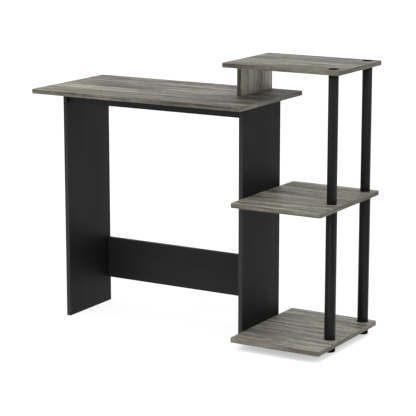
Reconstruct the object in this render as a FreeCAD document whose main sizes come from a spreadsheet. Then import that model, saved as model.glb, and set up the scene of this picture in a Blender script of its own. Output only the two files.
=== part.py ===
import FreeCAD, Part
import math
import os

import Sketcher
from FreeCAD import Rotation, Vector

# A compact desk with a two-post shelf tower on its right-hand side.  Laminated boards make the
# desktop, two slab legs, a rail, a stretcher, a riser and three shelves.  Plastic tubes carry the
# outer side of the shelves, and every tube end has a plug that takes a threaded stud.
#
# Frame: +X to the sitter's right, +Y to the back, +Z up.  The origin is on the floor, midway
# between the ends and midway between the front and back.

doc = FreeCAD.newDocument("desk_with_side_shelves")

# ------------------------------------------------------------------ driving dimensions, mm

SIZES = [
    ("overall_width", 1006, "left end of the desktop to right end of the shelves"),
    ("overall_depth", 396, "desktop and the two lower shelves, front to back"),
    ("board", 13.5, "thickness of every board, laminate included"),
    ("band", 0.5, "thickness of the glued edge banding"),
    ("corner", 7, "rounding of the corners of desktop and shelves, seen from above"),
    ("arris", 0.35, "easing of the edge banding where it meets a face"),
    ("desktop_width", 741.5, "desktop, left to right"),
    ("desktop_height", 733, "floor to desktop top"),
    ("left_overhang", 68, "desktop's left end to the left leg's outer face"),
    ("leg_setback", 75, "desktop's front edge to the legs' front edge"),
    ("leg_depth", 234, "legs, front to back"),
    ("side_shelf_width", 296, "middle and bottom shelf, left to right"),
    ("bottom_gap", 24.3, "floor to the bottom shelf's underside"),
    ("middle_shelf_height", 447.2, "floor to the middle shelf's top"),
    ("top_shelf_height", 843, "floor to the top shelf's top"),
    ("top_shelf_width", 386, "top shelf, left to right"),
    ("top_shelf_depth", 292.5, "top shelf, front to back"),
    ("riser_depth", 198, "riser panel, front to back"),
    ("rail_height", 33.2, "rail under the desktop's front"),
    ("rail_setback", 10, "legs' front edge to the rail's face"),
    ("stretcher_height", 133.5, "low board between the legs"),
    ("stretcher_clearance", 80.7, "floor to the stretcher's lower edge"),
    ("post_inset", 34, "shelves' right end to the posts' axes"),
    ("front_post", 140.5, "front of the lower shelves to the front post's axis"),
    ("rear_post", 366.3, "front of the lower shelves to the rear post's axis"),
    ("lower_tube", 33.5, "outer diameter of the lower tubes"),
    ("upper_tube", 30, "outer diameter of the upper tubes"),
    ("tube_wall", 1.8, "tube wall thickness"),
    ("collar", 12, "height of a plug's collar outside the tube"),
    ("collar_lip", 0.4, "chamfer round a collar's ends"),
    ("spigot", 22, "length of a plug inside the tube"),
    ("stud", 9.6, "crest diameter of the threaded studs"),
    ("stud_pitch", 2.5, "distance between thread crests on a stud"),
    ("stud_thread", 0.8, "depth of a stud's thread"),
    ("stud_hole", 10, "stud hole through a shelf and bore of a plug"),
    ("stud_grip", 14, "length of a stud inside a plug"),
    ("foot_rim", 2.2, "rounding of a foot's lower rim"),
    ("foot_recess", 22, "diameter of the hollow under a foot"),
    ("foot_recess_depth", 2, "depth of the hollow under a foot"),
    ("cap_height", 2.6, "height of a cap on the top shelf"),
    ("cap_crown", 1.1, "rise of the cap's domed face"),
    ("cam_reach", 24, "board's end to the axis of a cam lock"),
    ("cam_bore", 15, "diameter of the bore that holds a cam lock"),
    ("cam_bore_depth", 11, "depth of that bore"),
    ("cam_lock", 14.6, "diameter of a cam lock"),
    ("cam_lock_height", 10.6, "height of a cam lock"),
    ("cam_cavity", 9, "diameter of the hollow inside a cam lock"),
    ("cam_cavity_rise", 4, "cam bolt's axis to the top of that hollow"),
    ("cam_slot", 5.2, "width of the neck's slot in a cam lock"),
    ("cam_drive", 6.4, "length of the cross recess in a cam lock"),
    ("cam_drive_width", 1.4, "width of the cross recess"),
    ("cam_drive_depth", 2, "depth of the cross recess"),
    ("bolt_thread", 6, "crest diameter of a cam bolt's thread"),
    ("bolt_thread_length", 10, "length of a cam bolt's thread"),
    ("bolt_thread_depth", 0.7, "depth of a cam bolt's thread"),
    ("bolt_pitch", 2, "distance between thread crests on a cam bolt"),
    ("bolt_shank", 6.4, "diameter of a cam bolt's shank"),
    ("bolt_neck", 4, "diameter of a cam bolt's neck"),
    ("bolt_neck_length", 6.2, "length of the neck"),
    ("bolt_shoulder", 1, "length of the taper from neck to shank"),
    ("bolt_head", 6.8, "diameter of a cam bolt's head"),
    ("bolt_head_length", 2.6, "length of the head"),
    ("bolt_channel", 7.4, "hole along a board for the cam bolt's shank"),
    ("bolt_hole_depth", 10.5, "hole in a board's face for the cam bolt's thread"),
    ("dowel", 6, "diameter of a wood dowel"),
    ("dowel_length", 28, "length of a wood dowel"),
    ("dowel_chamfer", 0.8, "chamfer of a dowel's ends"),
    ("dowel_gap", 0.5, "room past each end of a dowel"),
    ("dowel_face_depth", 9.5, "dowel hole in a board's face"),
    ("dowel_end_depth", 19.5, "dowel hole in a board's end"),
    ("screw", 5, "crest diameter of a panel screw"),
    ("screw_length", 40, "length of a panel screw, head included"),
    ("screw_head", 9.5, "diameter of a panel screw's head"),
    ("screw_head_height", 3.6, "height of the countersunk head"),
    ("screw_sink", 0.1, "board's face to the screw's head, which sits below it"),
    ("screw_clearance", 0.2, "room round a screw's head and shank"),
    ("screw_end_gap", 1, "room past a screw's end"),
    ("screw_shank", 7.2, "screw's face to its first thread crest"),
    ("screw_thread", 0.6, "depth of a panel screw's thread"),
    ("screw_pitch", 2.6, "distance between thread crests on a panel screw"),
    ("screw_drive", 4.2, "width of the screw's socket at its mouth"),
    ("screw_drive_depth", 3, "depth of the screw's socket"),
    ("screw_cap", 13, "diameter of a cover cap"),
    ("screw_cap_height", 1.2, "height of a cover cap"),
    ("screw_cap_rim", 0.4, "height of a cover cap at its rim"),
    ("leg_cam_inset", 40, "leg's front and back edges to the nearer cam lock"),
    ("leg_dowel_inset", 78, "leg's front and back edges to the nearer dowel"),
    ("shelf_screw_inset", 30, "leg's front and back edges to the outer shelf screws"),
    ("stretcher_cam_spread", 84, "distance between a stretcher end's two cam bolts"),
    ("stretcher_dowel_spread", 34, "distance between a stretcher end's two dowels"),
    ("rail_cam_rise", 7, "rail's mid height up to its cam bolts"),
    ("rail_dowel_drop", 9, "rail's mid height down to its dowels"),
    ("riser_cam_inset", 34, "riser's edges to its cam locks and screws"),
    ("riser_dowel_inset", 68, "riser's edges to its dowels"),
]

sheet = doc.addObject("Spreadsheet::Sheet", "Sizes")
for row, (alias, size, meaning) in enumerate(SIZES, start=1):
    sheet.set(f"A{row}", meaning)
    sheet.set(f"B{row}", str(size))
    sheet.setAlias(f"B{row}", alias)
doc.recompute()


def cell(formula):
    """Turns words such as board / 2 into an expression that reads the spreadsheet."""
    words = formula.replace("(", " ( ").replace(")", " ) ").split()
    aliases = {alias for alias, _, _ in SIZES}
    return " ".join("Sizes." + word if word in aliases else word for word in words)


def number(formula):
    """The present value of such a formula, in mm."""
    return float(sheet.evalExpression(cell(formula)))


def bind(thing, place, formula):
    thing.setExpression(place, cell(formula))


# ------------------------------------------------------------------ places that many pieces share

LEFT_END = "0 - overall_width / 2"
RIGHT_END = "overall_width / 2"
FRONT = "0 - overall_depth / 2"
BACK = "overall_depth / 2"
DESKTOP_UNDERSIDE = "desktop_height - board"
LEG_FRONT = f"{FRONT} + leg_setback"
LEFT_LEG_X = f"{LEFT_END} + left_overhang"
RIGHT_LEG_X = f"{RIGHT_END} - side_shelf_width - board"
BETWEEN_LEGS = f"( {RIGHT_LEG_X} ) - ( {LEFT_LEG_X} ) - board"
SHELF_X = f"{RIGHT_END} - side_shelf_width"
TOP_SHELF_X = f"{RIGHT_END} - top_shelf_width"
TOP_SHELF_Y = f"{BACK} - top_shelf_depth"
TOP_SHELF_Z = "top_shelf_height - board"
MIDDLE_SHELF_Z = "middle_shelf_height - board"
RISER_Y = f"{BACK} - riser_depth"
RISER_HEIGHT = "top_shelf_height - board - desktop_height"
RAIL_Y = f"{LEG_FRONT} + rail_setback"
RAIL_Z = f"{DESKTOP_UNDERSIDE} - rail_height"
STRETCHER_Y = f"{LEG_FRONT} + leg_depth - board"
POST_X = f"{RIGHT_END} - post_inset"
POSTS = {"front": f"{FRONT} + front_post", "rear": f"{FRONT} + rear_post"}

PARTS = []


def keep(piece):
    """Marks a finished piece as one of the desk's own nodes."""
    PARTS.append(piece)
    return piece


def place(piece, across, back, up):
    bind(piece, "Placement.Base.x", across)
    bind(piece, "Placement.Base.y", back)
    bind(piece, "Placement.Base.z", up)


# ------------------------------------------------------------------ sketches and features


def new_body(label):
    body = doc.addObject("PartDesign::Body", label)
    body.Label = label
    return body


def new_sketch(body, name, plane, offset="0"):
    """A sketch on one of the body's origin planes, moved along that plane's normal by offset."""
    sketch = body.newObject("Sketcher::SketchObject", name)
    support = next(item for item in body.Origin.OriginFeatures if item.Role == plane)
    sketch.AttachmentSupport = [(support, "")]
    sketch.MapMode = "FlatFace"
    bind(sketch, "AttachmentOffset.Base.z", offset)
    return sketch


TOUCH = 1e-6
ORIGIN, ACROSS_AXIS, UP_AXIS = -1, -1, -2
START, END, CENTRE = 1, 2, 3


def pin_point(sketch, geometry, end, across, up):
    """Holds one end of a line, or a circle's centre, at its place in the sketch."""
    for kind, axis, formula in (("DistanceX", UP_AXIS, across), ("DistanceY", ACROSS_AXIS, up)):
        size = number(formula)
        if abs(size) < TOUCH:
            sketch.addConstraint(Sketcher.Constraint("PointOnObject", geometry, end, axis))
            continue
        index = sketch.addConstraint(
            Sketcher.Constraint(kind, ORIGIN, START, geometry, end, size))
        bind(sketch, f"Constraints[{index}]", formula)


def arc_about_axis(start, end):
    """The arc between two points, counter-clockwise, whose centre is on the upright axis."""
    height = (start.dot(start) - end.dot(end)) / (2 * (start.y - end.y))
    centre = Vector(0, height, 0)
    ends = [math.atan2(spot.y - height, spot.x) for spot in (start, end)]
    return Part.ArcOfCircle(Part.Circle(centre, Vector(0, 0, 1), (start - centre).Length), *ends)


def draw_outline(sketch, corners, domed=()):
    """A closed outline through corners given as pairs of formulas.

    Its sides are straight, apart from the domed ones, named by the corner that they start at:
    those are arcs with their centre on the sketch's upright axis.
    """
    spots = [Vector(number(across), number(up), 0) for across, up in corners]
    first = sketch.GeometryCount
    for step, (start, end) in enumerate(zip(spots, spots[1:] + spots[:1])):
        side = arc_about_axis(start, end) if step in domed else Part.LineSegment(start, end)
        sketch.addGeometry(side, False)
    for step, (across, up) in enumerate(corners):
        side = first + step
        before = first + (step - 1) % len(corners)
        sketch.addConstraint(Sketcher.Constraint("Coincident", before, END, side, START))
        pin_point(sketch, side, START, across, up)
        if step in domed:
            sketch.addConstraint(Sketcher.Constraint("PointOnObject", side, CENTRE, UP_AXIS))


def draw_circles(sketch, centres, diameter):
    for across, up in centres:
        spot = Vector(number(across), number(up), 0)
        circle = sketch.addGeometry(Part.Circle(spot, Vector(0, 0, 1), number(diameter) / 2), False)
        index = sketch.addConstraint(Sketcher.Constraint("Diameter", circle, number(diameter)))
        bind(sketch, f"Constraints[{index}]", diameter)
        pin_point(sketch, circle, CENTRE, across, up)


def pad(body, sketch, name, length, backwards=False):
    feature = body.newObject("PartDesign::Pad", name)
    feature.Profile = sketch
    feature.Reversed = backwards
    bind(feature, "Length", length)
    doc.recompute()
    return feature


LEAST_CUT = 1


def pocket(body, sketch, name, depth, backwards, least=LEAST_CUT):
    """Cuts the sketch into the body and makes sure that at least that much went, in mm3."""
    before = body.Shape.Volume
    feature = body.newObject("PartDesign::Pocket", name)
    feature.Profile = sketch
    feature.Reversed = backwards
    bind(feature, "Length", depth)
    doc.recompute()
    if before - body.Shape.Volume < least:
        raise RuntimeError(f"{body.Label}: {name} cut too little")
    return feature


# A pocket runs against its plane's normal, which is +Z, -Y or +X for these three planes.  A hole
# may break into an earlier one, but at least this share of it has to be solid board.
SOLID_SHARE = 0.5
NORMAL = {"XY_Plane": Vector(0, 0, 1), "XZ_Plane": Vector(0, -1, 0), "YZ_Plane": Vector(1, 0, 0)}


def drill(body, name, plane, offset, centres, diameter, depth, way):
    """Round holes from a sketch plane, running the way given, all of one diameter and depth."""
    sketch = new_sketch(body, name + "_sketch", plane, offset)
    draw_circles(sketch, centres, diameter)
    hole = math.pi / 4 * number(diameter) ** 2 * number(depth)
    least = SOLID_SHARE * hole * len(centres)
    return pocket(body, sketch, name, depth, way.dot(NORMAL[plane]) > 0, least)


def countersink(body, name, plane, offset, centres, way):
    """Cone-shaped mouths for screw heads, stepped down to the screw's own diameter."""
    before = body.Shape.Volume
    for centre_number, (across, up) in enumerate(centres, start=1):
        sketch = new_sketch(body, f"{name}_{centre_number}_sketch", plane, offset)
        draw_circles(sketch, [(across, up)], "screw_head")
        cone = body.newObject("PartDesign::Pocket", f"{name}_{centre_number}")
        cone.Profile = sketch
        cone.Reversed = way.dot(NORMAL[plane]) > 0
        bind(cone, "Length", "screw_head_height")
        cone.TaperAngle = -math.degrees(math.atan2(
            number("( screw_head - screw ) / 2"), number("screw_head_height")))
        doc.recompute()
    if before - body.Shape.Volume < LEAST_CUT * len(centres):
        raise RuntimeError(f"{body.Label}: {name} cut nothing")


UP, DOWN = Vector(0, 0, 1), Vector(0, 0, -1)
LEFT, RIGHT = Vector(-1, 0, 0), Vector(1, 0, 0)
FORWARD, BACKWARD = Vector(0, -1, 0), Vector(0, 1, 0)


def edge_names(shape, wanted):
    return [f"Edge{index}" for index, edge in enumerate(shape.Edges, start=1) if wanted(edge)]


def is_upright(edge):
    box = edge.BoundBox
    return box.XLength < TOUCH and box.YLength < TOUCH


def on_outside(edge, box):
    """True for an edge that reaches one of the box's four upright sides."""
    reach = edge.BoundBox
    gaps = (reach.XMin - box.XMin, box.XMax - reach.XMax, reach.YMin - box.YMin, box.YMax - reach.YMax)
    return min(gaps) < TOUCH


def fillet(body, base, names, radius, name):
    feature = body.newObject("PartDesign::Fillet", name)
    feature.Base = (base, names)
    bind(feature, "Radius", radius)
    doc.recompute()
    return feature


def rectangle(across, up, width, height):
    """The corners of a rectangle, from its lower left one."""
    right = f"{across} + {width}"
    top = f"{up} + {height}"
    return [(across, up), (right, up), (right, top), (across, top)]


def turned(label, profile, domed=()):
    """A piece turned about its own Z axis; the profile is pairs of radius and height."""
    body = new_body(label)
    sketch = new_sketch(body, label + "_profile", "XZ_Plane")
    draw_outline(sketch, profile, domed)
    feature = body.newObject("PartDesign::Revolution", label + "_turning")
    feature.Profile = sketch
    feature.ReferenceAxis = (sketch, ["V_Axis"])
    feature.Angle = 360
    doc.recompute()
    return body


def threads(crest, depth, start, turns, pitch):
    """Ring-shaped ridges that stand for a thread, listed upwards from start."""
    root = f"{crest} / 2 - {depth}"
    ridges = []
    for turn in range(turns):
        ridges.append((root, f"{start} + {turn} * {pitch}"))
        ridges.append((f"{crest} / 2", f"{start} + {turn} * {pitch} + {pitch} / 2"))
    ridges.append((root, f"{start} + {turns} * {pitch}"))
    return ridges


def group(label, master, spots):
    """Copies of one piece, as separate solids of one node.

    Each spot is three formulas for the copy's origin, and the directions that the copy's own
    X and Z axes take.
    """
    copies = []
    for index, (across, back, up, x_way, z_way) in enumerate(spots, start=1):
        copy = doc.addObject("App::Link", f"{label}_{index}")
        copy.LinkedObject = master
        copy.LinkTransform = False
        turn = Rotation(x_way, z_way.cross(x_way), z_way, "ZXY")
        copy.Placement = FreeCAD.Placement(Vector(), turn)
        place(copy, across, back, up)
        copies.append(copy)
    bundle = doc.addObject("Part::Compound", label)
    bundle.Label = label
    bundle.Links = copies
    return keep(bundle)


# ------------------------------------------------------------------ boards


def flat_board(label, width, depth, across, back, up):
    """The core of a level board: laminated on both faces, with banding glued all round it."""
    body = new_body(label)
    sketch = new_sketch(body, label + "_outline", "XY_Plane")
    draw_outline(sketch, rectangle("band", "band", f"{width} - 2 * band", f"{depth} - 2 * band"))
    slab = pad(body, sketch, label + "_slab", "board")
    fillet(body, slab, edge_names(slab.Shape, is_upright), "corner - band", label + "_corners")
    place(body, across, back, up)
    return keep(body)


def ring_band(label, width, depth, across, back, up):
    """One strip of edge banding, wrapped round a level board."""
    body = new_body(label)
    sketch = new_sketch(body, label + "_outline", "XY_Plane")
    draw_outline(sketch, rectangle("0", "0", width, depth))
    draw_outline(sketch, rectangle("band", "band", f"{width} - 2 * band", f"{depth} - 2 * band"))
    ring = pad(body, sketch, label + "_ring", "board")
    box = ring.Shape.BoundBox
    outer = edge_names(ring.Shape, lambda edge: is_upright(edge) and on_outside(edge, box))
    bends = fillet(body, ring, outer, "corner", label + "_outer_corners")
    inner = edge_names(bends.Shape, lambda edge: is_upright(edge) and edge.Length > TOUCH
                       and not reaches_round_corner(edge, box))
    bends = fillet(body, bends, inner, "corner - band", label + "_inner_corners")
    rims = edge_names(bends.Shape, lambda edge: edge.BoundBox.ZLength < TOUCH
                      and on_outside(edge, box))
    fillet(body, bends, rims, "arris", label + "_arris")
    place(body, across, back, up)
    return keep(body)


def reaches_round_corner(edge, box):
    """True for the upright edges where a rounded outer corner meets a straight side."""
    spot = edge.BoundBox.Center
    sides = (spot.x - box.XMin, box.XMax - spot.x, spot.y - box.YMin, box.YMax - spot.y)
    return min(sides) < TOUCH


def upright_board(label, depth, height, across, back):
    """The core of a board that stands in the YZ plane, banded on its front and back edges."""
    body = new_body(label)
    sketch = new_sketch(body, label + "_outline", "YZ_Plane")
    draw_outline(sketch, rectangle("band", "0", f"{depth} - 2 * band", height))
    pad(body, sketch, label + "_slab", "board")
    bind(body, "Placement.Base.x", across)
    bind(body, "Placement.Base.y", back)
    return keep(body)


def cross_board(label, width, low, height, across, back, up):
    """The core of a board that stands in the XZ plane; low is where its core begins."""
    body = new_body(label)
    sketch = new_sketch(body, label + "_outline", "XZ_Plane")
    draw_outline(sketch, rectangle("0", low, width, height))
    pad(body, sketch, label + "_slab", "board", backwards=True)
    place(body, across, back, up)
    return keep(body)


def strip_master(label, length):
    """A straight strip of banding: along X, across the board's edge in Y, its face at +Z."""
    body = new_body(label)
    sketch = new_sketch(body, label + "_outline", "XY_Plane")
    draw_outline(sketch, rectangle("0", "0", length, "board"))
    slab = pad(body, sketch, label + "_slab", "band")
    top = number("band")
    long_rims = edge_names(slab.Shape, lambda edge: edge.BoundBox.ZMin > top - TOUCH
                           and edge.BoundBox.YLength < TOUCH)
    fillet(body, slab, long_rims, "arris", label + "_arris")
    return body


def upright_strips(label, length, across, front, depth, up):
    """The front and back banding of an upright board."""
    master = strip_master(label + "_strip", length)
    group(label, master, [
        (f"{across} + board", f"{front} + band", up, UP, FORWARD),
        (across, f"{front} + {depth} - band", up, UP, BACKWARD),
    ])


# Where the fasteners sit, measured from each board's own corner.

LEG_CAMS = ("leg_cam_inset", "leg_depth - leg_cam_inset")
LEG_DOWELS = ("leg_dowel_inset", "leg_depth - leg_dowel_inset")
SHELF_SCREWS = ("shelf_screw_inset", "leg_depth / 2", "leg_depth - shelf_screw_inset")
RAIL_CAM = "rail_height / 2 + rail_cam_rise"
RAIL_DOWEL = "rail_height / 2 - rail_dowel_drop"
STRETCHER_CAMS = (
    "( stretcher_height - stretcher_cam_spread ) / 2",
    "( stretcher_height + stretcher_cam_spread ) / 2",
)
STRETCHER_DOWELS = (
    "( stretcher_height - stretcher_dowel_spread ) / 2",
    "( stretcher_height + stretcher_dowel_spread ) / 2",
)
RISER_CAMS = ("riser_cam_inset", "riser_depth - riser_cam_inset")
RISER_DOWELS = ("riser_dowel_inset", "riser_depth - riser_dowel_inset")

# Desktop: cam bolts and dowels enter its underside over the legs, and two screws pass up
# through it into the riser.

desktop_place = (LEFT_END, FRONT, DESKTOP_UNDERSIDE)
desktop = flat_board("desktop_board", "desktop_width", "overall_depth", *desktop_place)
over_legs = (
    "left_overhang + board / 2",
    "overall_width - side_shelf_width - board / 2",
)
cam_spots = [(leg, f"leg_setback + {inset}") for leg in over_legs for inset in LEG_CAMS]
dowel_spots = [(leg, f"leg_setback + {inset}") for leg in over_legs for inset in LEG_DOWELS]
riser_line = "overall_width - top_shelf_width + board / 2"
riser_screw_spots = [
    (riser_line, f"overall_depth - riser_depth + {inset}") for inset in RISER_CAMS]
drill(desktop, "desktop_cam_holes", "XY_Plane", "0", cam_spots, "bolt_thread", "bolt_hole_depth", UP)
drill(desktop, "desktop_dowel_holes", "XY_Plane", "0", dowel_spots, "dowel", "dowel_face_depth", UP)
drill(desktop, "desktop_screw_holes", "XY_Plane", "0", riser_screw_spots, "screw", "board", UP)
countersink(desktop, "desktop_countersinks", "XY_Plane", "0", riser_screw_spots, UP)
ring_band("desktop_edge_band", "desktop_width", "overall_depth", *desktop_place)

# Shelves: stud holes for the posts, and screw holes in the edge that meets the right leg.

top_place = (TOP_SHELF_X, TOP_SHELF_Y, TOP_SHELF_Z)
top_shelf = flat_board("top_shelf_board", "top_shelf_width", "top_shelf_depth", *top_place)
top_studs = [
    ("top_shelf_width - post_inset", f"{post} - overall_depth + top_shelf_depth")
    for post in ("front_post", "rear_post")]
over_riser = "top_shelf_depth - riser_depth"
top_cams = [("board / 2", f"{over_riser} + {inset}") for inset in RISER_CAMS]
top_dowels = [("board / 2", f"{over_riser} + {inset}") for inset in RISER_DOWELS]
drill(top_shelf, "top_stud_holes", "XY_Plane", "0", top_studs, "stud_hole", "board", UP)
drill(top_shelf, "top_cam_holes", "XY_Plane", "0", top_cams, "bolt_thread", "bolt_hole_depth", UP)
drill(top_shelf, "top_dowel_holes", "XY_Plane", "0", top_dowels, "dowel", "dowel_face_depth", UP)
ring_band("top_shelf_edge_band", "top_shelf_width", "top_shelf_depth", *top_place)

SCREW_IN_SHELF = "screw_length - board + screw_end_gap"
for name, height in (("middle", MIDDLE_SHELF_Z), ("bottom", "bottom_gap")):
    shelf = flat_board(f"{name}_shelf_board", "side_shelf_width", "overall_depth",
                       SHELF_X, FRONT, height)
    studs = [("side_shelf_width - post_inset", post) for post in ("front_post", "rear_post")]
    edge_holes = [(f"leg_setback + {inset}", "board / 2") for inset in SHELF_SCREWS]
    drill(shelf, name + "_stud_holes", "XY_Plane", "0", studs, "stud_hole", "board", UP)
    drill(shelf, name + "_screw_holes", "YZ_Plane", "0", edge_holes, "screw", SCREW_IN_SHELF, RIGHT)

# The lower shelves' banding has screw holes too, on the side that meets the right leg.

for name, height in (("middle", MIDDLE_SHELF_Z), ("bottom", "bottom_gap")):
    shelf_band = ring_band(f"{name}_shelf_edge_band", "side_shelf_width", "overall_depth",
                           SHELF_X, FRONT, height)
    edge_holes = [(f"leg_setback + {inset}", "board / 2") for inset in SHELF_SCREWS]
    drill(shelf_band, name + "_band_screw_holes", "YZ_Plane", "0", edge_holes,
          "screw", "band", RIGHT)


def bore_leg(leg, inner, inward):
    """Holes that both legs have; inner is the inner face's place, inward the way to drill it."""
    name = leg.Label
    top_cams = [("board / 2", inset) for inset in LEG_CAMS]
    top_dowels = [("board / 2", inset) for inset in LEG_DOWELS]
    drill(leg, name + "_top_cam_channels", "XY_Plane", DESKTOP_UNDERSIDE, top_cams,
          "bolt_channel", "cam_reach", DOWN)
    drill(leg, name + "_top_dowel_holes", "XY_Plane", DESKTOP_UNDERSIDE, top_dowels,
          "dowel", "dowel_end_depth", DOWN)
    cams = [(inset, f"{DESKTOP_UNDERSIDE} - cam_reach") for inset in LEG_CAMS]
    drill(leg, name + "_cam_bores", "YZ_Plane", inner, cams, "cam_bore", "cam_bore_depth", inward)
    rail_line = "rail_setback + board / 2"
    stretcher_line = "leg_depth - board / 2"
    bolts = [(rail_line, f"{RAIL_Z} + {RAIL_CAM}")]
    bolts += [(stretcher_line, f"stretcher_clearance + {rise}") for rise in STRETCHER_CAMS]
    drill(leg, name + "_bolt_holes", "YZ_Plane", inner, bolts,
          "bolt_thread", "bolt_hole_depth", inward)
    pegs = [(rail_line, f"{RAIL_Z} + {RAIL_DOWEL}")]
    pegs += [(stretcher_line, f"stretcher_clearance + {rise}") for rise in STRETCHER_DOWELS]
    drill(leg, name + "_peg_holes", "YZ_Plane", inner, pegs, "dowel", "dowel_face_depth", inward)


left_leg = upright_board("left_leg_board", "leg_depth", DESKTOP_UNDERSIDE, LEFT_LEG_X, LEG_FRONT)
bore_leg(left_leg, "board", LEFT)
upright_strips("left_leg_edge_bands", DESKTOP_UNDERSIDE, LEFT_LEG_X, LEG_FRONT, "leg_depth", "0")

right_leg = upright_board("right_leg_board", "leg_depth", DESKTOP_UNDERSIDE, RIGHT_LEG_X, LEG_FRONT)
bore_leg(right_leg, "0", RIGHT)
shelf_screw_spots = [
    (inset, f"{height} + board / 2")
    for height in (MIDDLE_SHELF_Z, "bottom_gap") for inset in SHELF_SCREWS]
drill(right_leg, "right_leg_screw_holes", "YZ_Plane", "0", shelf_screw_spots,
      "screw", "board", RIGHT)
countersink(right_leg, "right_leg_countersinks", "YZ_Plane", "0", shelf_screw_spots, RIGHT)
upright_strips("right_leg_edge_bands", DESKTOP_UNDERSIDE, RIGHT_LEG_X, LEG_FRONT, "leg_depth", "0")

# Riser: screwed from below, and drawn up to the top shelf by two cam locks in its left face.

riser = upright_board("riser_board", "riser_depth", RISER_HEIGHT, TOP_SHELF_X, RISER_Y)
bind(riser, "Placement.Base.z", "desktop_height")
drill(riser, "riser_screw_holes", "XY_Plane", "0", [("board / 2", inset) for inset in RISER_CAMS],
      "screw", SCREW_IN_SHELF, UP)
drill(riser, "riser_cam_channels", "XY_Plane", RISER_HEIGHT,
      [("board / 2", inset) for inset in RISER_CAMS], "bolt_channel", "cam_reach", DOWN)
drill(riser, "riser_dowel_holes", "XY_Plane", RISER_HEIGHT,
      [("board / 2", inset) for inset in RISER_DOWELS], "dowel", "dowel_end_depth", DOWN)
drill(riser, "riser_cam_bores", "YZ_Plane", "0",
      [(inset, f"{RISER_HEIGHT} - cam_reach") for inset in RISER_CAMS],
      "cam_bore", "cam_bore_depth", RIGHT)
upright_strips("riser_edge_bands", RISER_HEIGHT, TOP_SHELF_X, RISER_Y, "riser_depth",
               "desktop_height")


def bore_cross_board(board, cams, dowels):
    """Cam channels and dowel holes in both ends, and cam bores in the back face."""
    name = board.Label
    ends = (("left", "0", RIGHT), ("right", BETWEEN_LEGS, LEFT))
    for side, end, way in ends:
        drill(board, f"{name}_{side}_channels", "YZ_Plane", end,
              [("board / 2", rise) for rise in cams], "bolt_channel", "cam_reach", way)
        drill(board, f"{name}_{side}_dowel_holes", "YZ_Plane", end,
              [("board / 2", rise) for rise in dowels], "dowel", "dowel_end_depth", way)
    reaches = ("cam_reach", f"{BETWEEN_LEGS} - cam_reach")
    drill(board, name + "_cam_bores", "XZ_Plane", "0 - board",
          [(reach, rise) for reach in reaches for rise in cams],
          "cam_bore", "cam_bore_depth", FORWARD)


CROSS_X = f"{LEFT_LEG_X} + board"
rail = cross_board("front_rail_board", BETWEEN_LEGS, "band", "rail_height - band",
                   CROSS_X, RAIL_Y, RAIL_Z)
bore_cross_board(rail, [RAIL_CAM], [RAIL_DOWEL])
stretcher = cross_board("back_stretcher_board", BETWEEN_LEGS, "band",
                        "stretcher_height - 2 * band", CROSS_X, STRETCHER_Y, "stretcher_clearance")
bore_cross_board(stretcher, STRETCHER_CAMS, STRETCHER_DOWELS)

cross_strip = strip_master("cross_board_strip", BETWEEN_LEGS)
group("front_rail_edge_band", cross_strip, [
    (CROSS_X, f"{RAIL_Y} + board", f"{RAIL_Z} + band", RIGHT, DOWN),
])
group("back_stretcher_edge_bands", cross_strip, [
    (CROSS_X, f"{STRETCHER_Y} + board", "stretcher_clearance + band", RIGHT, DOWN),
    (CROSS_X, STRETCHER_Y, "stretcher_clearance + stretcher_height - band", RIGHT, UP),
])

# ------------------------------------------------------------------ posts
#
# Each post is a lower and an upper tube.  A plug with a collar of the tube's own diameter is
# pressed into both ends of every tube, and studs through the shelves screw into the plugs.


def plug_master(label, tube):
    """Collar from 0 to its height, spigot above it; a stud enters from below."""
    return turned(label, [
        ("stud_hole / 2", "0"),
        (f"{tube} / 2 - collar_lip", "0"),
        (f"{tube} / 2", "collar_lip"),
        (f"{tube} / 2", "collar - collar_lip"),
        (f"{tube} / 2 - collar_lip", "collar"),
        (f"{tube} / 2 - tube_wall", "collar"),
        (f"{tube} / 2 - tube_wall", "collar + spigot"),
        ("stud_hole / 2", "collar + spigot"),
    ])


def tube_piece(label, tube, height, back, up):
    body = new_body(label)
    sketch = new_sketch(body, label + "_section", "XY_Plane")
    draw_circles(sketch, [("0", "0")], tube)
    draw_circles(sketch, [("0", "0")], f"{tube} - 2 * tube_wall")
    pad(body, sketch, label + "_length", height)
    place(body, POST_X, back, up)
    return keep(body)


LEVELS = {
    "lower": ("lower_tube", "bottom_gap + board", MIDDLE_SHELF_Z),
    "upper": ("upper_tube", "middle_shelf_height", TOP_SHELF_Z),
}
for level, (tube, floor, ceiling) in LEVELS.items():
    plug = plug_master(f"{level}_plug", tube)
    for post, back in POSTS.items():
        tube_piece(f"{post}_{level}_tube", tube, f"{ceiling} - ( {floor} ) - 2 * collar",
                   back, f"{floor} + collar")
        group(f"{post}_{level}_tube_plugs", plug, [
            (POST_X, back, floor, RIGHT, UP),
            (POST_X, back, ceiling, RIGHT, DOWN),
        ])

# Feet: moulded with the stud that passes up through the bottom shelf.  The origin is on the
# shelf's underside.


def thread_turns(length, pitch):
    """How many whole turns of a thread fit in a length."""
    return int(number(length) / number(pitch))


stud_length = "board + stud_grip"
stud_turns = thread_turns(stud_length, "stud_pitch")
foot_master = turned("foot", [
    ("0", "foot_recess_depth - bottom_gap"),
    ("foot_recess / 2", "foot_recess_depth - bottom_gap"),
    ("foot_recess / 2", "0 - bottom_gap"),
    ("lower_tube / 2", "0 - bottom_gap"),
    ("lower_tube / 2", "0"),
    *threads("stud", "stud_thread", "0", stud_turns, "stud_pitch"),
    ("0", f"{stud_turns} * stud_pitch"),
])


def is_lower_rim(edge):
    box = edge.BoundBox
    at_bottom = abs(box.ZMax + number("bottom_gap")) < TOUCH
    return at_bottom and abs(box.XLength - number("lower_tube")) < TOUCH


foot_rims = edge_names(foot_master.Shape, is_lower_rim)
fillet(foot_master, foot_master.Tip, foot_rims, "foot_rim", "foot_rim_round")

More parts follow.
